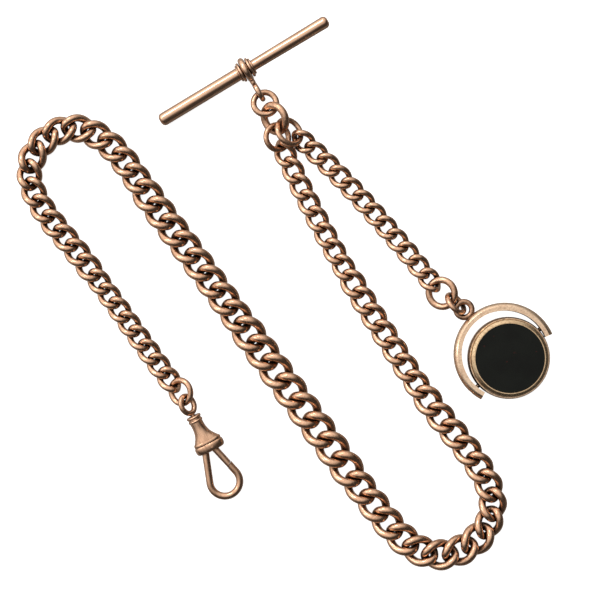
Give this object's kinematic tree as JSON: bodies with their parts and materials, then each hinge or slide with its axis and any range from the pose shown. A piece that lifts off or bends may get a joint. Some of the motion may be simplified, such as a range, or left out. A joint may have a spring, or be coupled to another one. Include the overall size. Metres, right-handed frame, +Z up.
{
  "type": "watch chain",
  "caption": "Graduated curb-link watch chain with T-bar, drop chain carrying a spinning stone fob, and a dog-clip swivel hook, laid out in an S",
  "frame": {"origin": "middle of the footprint of the chain as it lies, on the table", "axes": "+X and +Y lie in the table, +Y towards the T-bar end, +Z up from the table"},
  "size_m": [0.1126, 0.116, 0.0056],
  "materials": {
    "rose_gold": "polished",
    "pale_gold": "polished",
    "bloodstone": "polished",
    "carnelian": "polished",
    "spring_steel": "satin"
  },
  "bodies": {
    "bar": {"t_bar": "rose_gold", "collar_left": "rose_gold", "collar_right": "rose_gold"},
    "bail": {"bail": "rose_gold"},
    "upper_ring": {"jump_ring_upper": "rose_gold"},
    "connector": {"connector_ring": "rose_gold"},
    "main_top": {"main_top_ring": "rose_gold"},
    "main_01": {"main_links_01": "rose_gold"},
    "main_02": {"main_links_02": "rose_gold"},
    "main_03": {"main_links_03": "rose_gold"},
    "main_04": {"main_links_04": "rose_gold"},
    "main_05": {"main_links_05": "rose_gold"},
    "main_06": {"main_links_06": "rose_gold"},
    "main_07": {"main_links_07": "rose_gold"},
    "main_08": {"main_links_08": "rose_gold"},
    "main_09": {"main_links_09": "rose_gold"},
    "main_10": {"main_links_10": "rose_gold"},
    "main_11": {"main_links_11": "rose_gold"},
    "main_12": {"main_links_12": "rose_gold"},
    "main_13": {"main_links_13": "rose_gold"},
    "main_14": {"main_links_14": "rose_gold"},
    "main_15": {"main_links_15": "rose_gold"},
    "main_16": {"main_links_16": "rose_gold"},
    "main_17": {"main_links_17": "rose_gold"},
    "main_18": {"main_links_18": "rose_gold"},
    "main_19": {"main_links_19": "rose_gold"},
    "main_20": {"main_links_20": "rose_gold"},
    "main_21": {"main_links_21": "rose_gold"},
    "main_22": {"main_links_22": "rose_gold"},
    "main_23": {"main_links_23": "rose_gold"},
    "main_24": {"main_links_24": "rose_gold"},
    "end_ring": {"end_ring": "rose_gold"},
    "swivel_eye": {"swivel_eye": "rose_gold"},
    "swivel": {"swivel_barrel": "rose_gold", "swivel_hook": "rose_gold", "gate_pin": "spring_steel", "gate_spring": "spring_steel"},
    "gate": {"swivel_gate": "rose_gold"},
    "drop_top": {"drop_top_ring": "rose_gold"},
    "drop_1": {"drop_links_1": "rose_gold"},
    "drop_2": {"drop_links_2": "rose_gold"},
    "drop_3": {"drop_links_3": "rose_gold"},
    "drop_4": {"drop_links_4": "rose_gold"},
    "drop_foot": {"drop_foot_ring": "rose_gold"},
    "fob_ring": {"fob_jump_ring": "rose_gold"},
    "fob_frame": {"fob_frame": "rose_gold", "fob_bow": "rose_gold", "pivot_pin_upper": "rose_gold", "pivot_pin_lower": "rose_gold"},
    "spinner": {"spinner_band": "rose_gold", "bezel_front": "pale_gold", "bezel_back": "pale_gold", "stone_front": "bloodstone", "stone_back": "carnelian"}
  },
  "joints": [
    {"name": "bail_turn", "type": "hinge", "parent": "bar", "child": "bail", "pos_m": [-0.00809, 0.04705, 0.00278], "axis": [0.859, 0.508, 0.0628], "continuous": true},
    {"name": "upper_ring_swing", "type": "hinge", "parent": "bail", "child": "upper_ring", "pos_m": [-0.00474, 0.04159, 0.00108], "axis": [0.3999, -0.7426, 0.5372], "range_deg": [-8, 25]},
    {"name": "connector_swing", "type": "hinge", "parent": "upper_ring", "child": "connector", "pos_m": [-0.00383, 0.03768, 0.00292], "axis": [0.992, 0.059, -0.1116], "range_deg": [-6, 25]},
    {"name": "main_top_swing", "type": "hinge", "parent": "connector", "child": "main_top", "pos_m": [-0.00146, 0.03414, 0.00184], "axis": [0.772, -0.0801, 0.6305], "range_deg": [-4.5, 2]},
    {"name": "drop_top_swing", "type": "hinge", "parent": "connector", "child": "drop_top", "pos_m": [-0.00006, 0.03471, 0.00334], "axis": [0.4492, 0.5759, 0.6831], "range_deg": [-5, 24]},
    {"name": "main_start_swing", "type": "hinge", "parent": "main_top", "child": "main_01", "pos_m": [-0.00068, 0.0305, 0.00163], "axis": [0.8414, 0.3221, -0.4339], "range_deg": [-12, 24]},
    {"name": "drop_start_swing", "type": "hinge", "parent": "drop_top", "child": "drop_1", "pos_m": [0.00345, 0.03385, 0.00118], "axis": [-0.1361, 0.928, -0.3468], "range_deg": [-13.5, 4.5]},
    {"name": "end_ring_swing", "type": "hinge", "parent": "main_24", "child": "end_ring", "pos_m": [-0.02272, -0.02015, 0.00176], "axis": [0.4747, 0.1358, -0.8696], "range_deg": [-29, 25]},
    {"name": "swivel_eye_swing", "type": "hinge", "parent": "end_ring", "child": "swivel_eye", "pos_m": [-0.02083, -0.02284, 0.00268], "axis": [0.7727, 0.3409, 0.5354], "range_deg": [-29, 25]},
    {"name": "drop_foot_swing", "type": "hinge", "parent": "drop_4", "child": "drop_foot", "pos_m": [0.03227, 0.0033, 0.00068], "axis": [-0.2282, 0.9194, 0.3205], "range_deg": [-24, 2]},
    {"name": "fob_ring_swing", "type": "hinge", "parent": "drop_foot", "child": "fob_ring", "pos_m": [0.03566, -0.00069, 0.00294], "axis": [0.2171, 0.9359, 0.2773], "range_deg": [-29, 22]},
    {"name": "fob_frame_swing", "type": "hinge", "parent": "fob_ring", "child": "fob_frame", "pos_m": [0.03757, -0.00368, 0.00265], "axis": [0.3693, 0.3106, -0.8759], "range_deg": [-7, 25]},
    {"name": "main_chain_bend_02", "type": "hinge", "parent": "main_01", "child": "main_02", "pos_m": [0.00432, 0.02091, 0.00148], "axis": [0.8948, 0.4466, 0], "range_deg": [-15, 10]},
    {"name": "main_chain_bend_03", "type": "hinge", "parent": "main_02", "child": "main_03", "pos_m": [0.00967, 0.01066, 0.00137], "axis": [0, 0, 1], "range_deg": [-10, 6]},
    {"name": "main_chain_bend_04", "type": "hinge", "parent": "main_03", "child": "main_04", "pos_m": [0.01563, 0.00041, 0.00137], "axis": [-0.8541, -0.5202, 0], "range_deg": [-16, 16]},
    {"name": "main_chain_bend_05", "type": "hinge", "parent": "main_04", "child": "main_05", "pos_m": [0.02226, -0.01016, 0.0014], "axis": [0, 0, -1], "range_deg": [-13, 6]},
    {"name": "main_chain_bend_06", "type": "hinge", "parent": "main_05", "child": "main_06", "pos_m": [0.029, -0.02059, 0.0015], "axis": [0.8193, 0.5734, 0], "range_deg": [-16, 15]},
    {"name": "main_chain_bend_07", "type": "hinge", "parent": "main_06", "child": "main_07", "pos_m": [0.03723, -0.03106, 0.00152], "axis": [0, 0, 1], "range_deg": [-4, 16]},
    {"name": "main_chain_bend_08", "type": "hinge", "parent": "main_07", "child": "main_08", "pos_m": [0.04231, -0.03819, 0.00155], "axis": [-0.9022, -0.4312, 0], "range_deg": [-16, 13]},
    {"name": "main_chain_bend_09", "type": "hinge", "parent": "main_08", "child": "main_09", "pos_m": [0.04235, -0.05006, 0.00165], "axis": [0.818, -0.5753, 0], "range_deg": [-6, 13]},
    {"name": "main_chain_bend_10", "type": "hinge", "parent": "main_09", "child": "main_10", "pos_m": [0.03053, -0.05503, 0.00167], "axis": [0.2, 0.9798, 0], "range_deg": [-11, 13]},
    {"name": "main_chain_bend_11", "type": "hinge", "parent": "main_10", "child": "main_11", "pos_m": [0.02029, -0.04626, 0.00173], "axis": [-0.7758, -0.631, 0], "range_deg": [-16, 16]},
    {"name": "main_chain_bend_12", "type": "hinge", "parent": "main_11", "child": "main_12", "pos_m": [0.01164, -0.03458, 0.00182], "axis": [0.8095, 0.5871, 0], "range_deg": [-16, 16]},
    {"name": "main_chain_bend_13", "type": "hinge", "parent": "main_12", "child": "main_13", "pos_m": [0.00274, -0.02229, 0.00182], "axis": [-0.8079, -0.5894, 0], "range_deg": [-16, 16]},
    {"name": "main_chain_bend_14", "type": "hinge", "parent": "main_13", "child": "main_14", "pos_m": [-0.00603, -0.01027, 0.00182], "axis": [0, 0, -1], "range_deg": [-16, 8]},
    {"name": "main_chain_bend_15", "type": "hinge", "parent": "main_14", "child": "main_15", "pos_m": [-0.01405, 0.00087, 0.00173], "axis": [0, 0, 1], "range_deg": [-12, 16]},
    {"name": "main_chain_bend_16", "type": "hinge", "parent": "main_15", "child": "main_16", "pos_m": [-0.02202, 0.01169, 0.00167], "axis": [0.8011, 0.5986, 0], "range_deg": [-16, 16]},
    {"name": "main_chain_bend_17", "type": "hinge", "parent": "main_16", "child": "main_17", "pos_m": [-0.02994, 0.02261, 0.00165], "axis": [0, 0, -1], "range_deg": [-12, 16]},
    {"name": "main_chain_bend_18", "type": "hinge", "parent": "main_17", "child": "main_18", "pos_m": [-0.03767, 0.03251, 0.00155], "axis": [-0.5892, -0.808, 0], "range_deg": [-16, 15]},
    {"name": "main_chain_bend_19", "type": "hinge", "parent": "main_18", "child": "main_19", "pos_m": [-0.04537, 0.03533, 0.00152], "axis": [-0.1115, 0.9938, 0], "range_deg": [-9, 6]},
    {"name": "main_chain_bend_20", "type": "hinge", "parent": "main_19", "child": "main_20", "pos_m": [-0.0539, 0.02707, 0.0015], "axis": [0, 0, 1], "range_deg": [-16, 1]},
    {"name": "main_chain_bend_21", "type": "hinge", "parent": "main_20", "child": "main_21", "pos_m": [-0.04984, 0.01636, 0.0014], "axis": [0, 0, -1], "range_deg": [-12, 16]},
    {"name": "main_chain_bend_22", "type": "hinge", "parent": "main_21", "child": "main_22", "pos_m": [-0.0424, 0.00726, 0.00137], "axis": [0.7907, 0.6122, 0], "range_deg": [-16, 16]},
    {"name": "main_chain_bend_23", "type": "hinge", "parent": "main_22", "child": "main_23", "pos_m": [-0.03579, -0.00178, 0.00137], "axis": [0, 0, 1], "range_deg": [-16, 16]},
    {"name": "main_chain_bend_24", "type": "hinge", "parent": "main_23", "child": "main_24", "pos_m": [-0.02949, -0.01069, 0.00148], "axis": [-0.8142, -0.5806, 0], "range_deg": [-15, 16]},
    {"name": "drop_chain_bend_2", "type": "hinge", "parent": "drop_1", "child": "drop_2", "pos_m": [0.01055, 0.02601, 0.00146], "axis": [0.7093, 0.7049, 0], "range_deg": [-13, 8]},
    {"name": "drop_chain_bend_3", "type": "hinge", "parent": "drop_2", "child": "drop_3", "pos_m": [0.01794, 0.01811, 0.00137], "axis": [0, 0, -1], "range_deg": [-13, 6]},
    {"name": "drop_chain_bend_4", "type": "hinge", "parent": "drop_3", "child": "drop_4", "pos_m": [0.02501, 0.0099, 0.00146], "axis": [-0.7679, -0.6406, 0], "range_deg": [-9, 15]},
    {"name": "swivel_spin", "type": "hinge", "parent": "swivel_eye", "child": "swivel", "pos_m": [-0.02028, -0.0232, 0.00273], "axis": [0.4398, -0.8938, -0.0872], "continuous": true},
    {"name": "gate_open", "type": "hinge", "parent": "swivel", "child": "gate", "pos_m": [-0.01525, -0.03172, 0.00187], "axis": [-0.0385, 0.0782, -0.9962], "range_deg": [0, 20], "stiffness_Nm_per_rad": 0.002, "springref_deg": -20.05},
    {"name": "spinner_spin", "type": "hinge", "parent": "fob_frame", "child": "spinner", "pos_m": [0.04706, -0.01335, 0.0028], "axis": [0.7373, 0.6756, 0], "continuous": true}
  ]
}
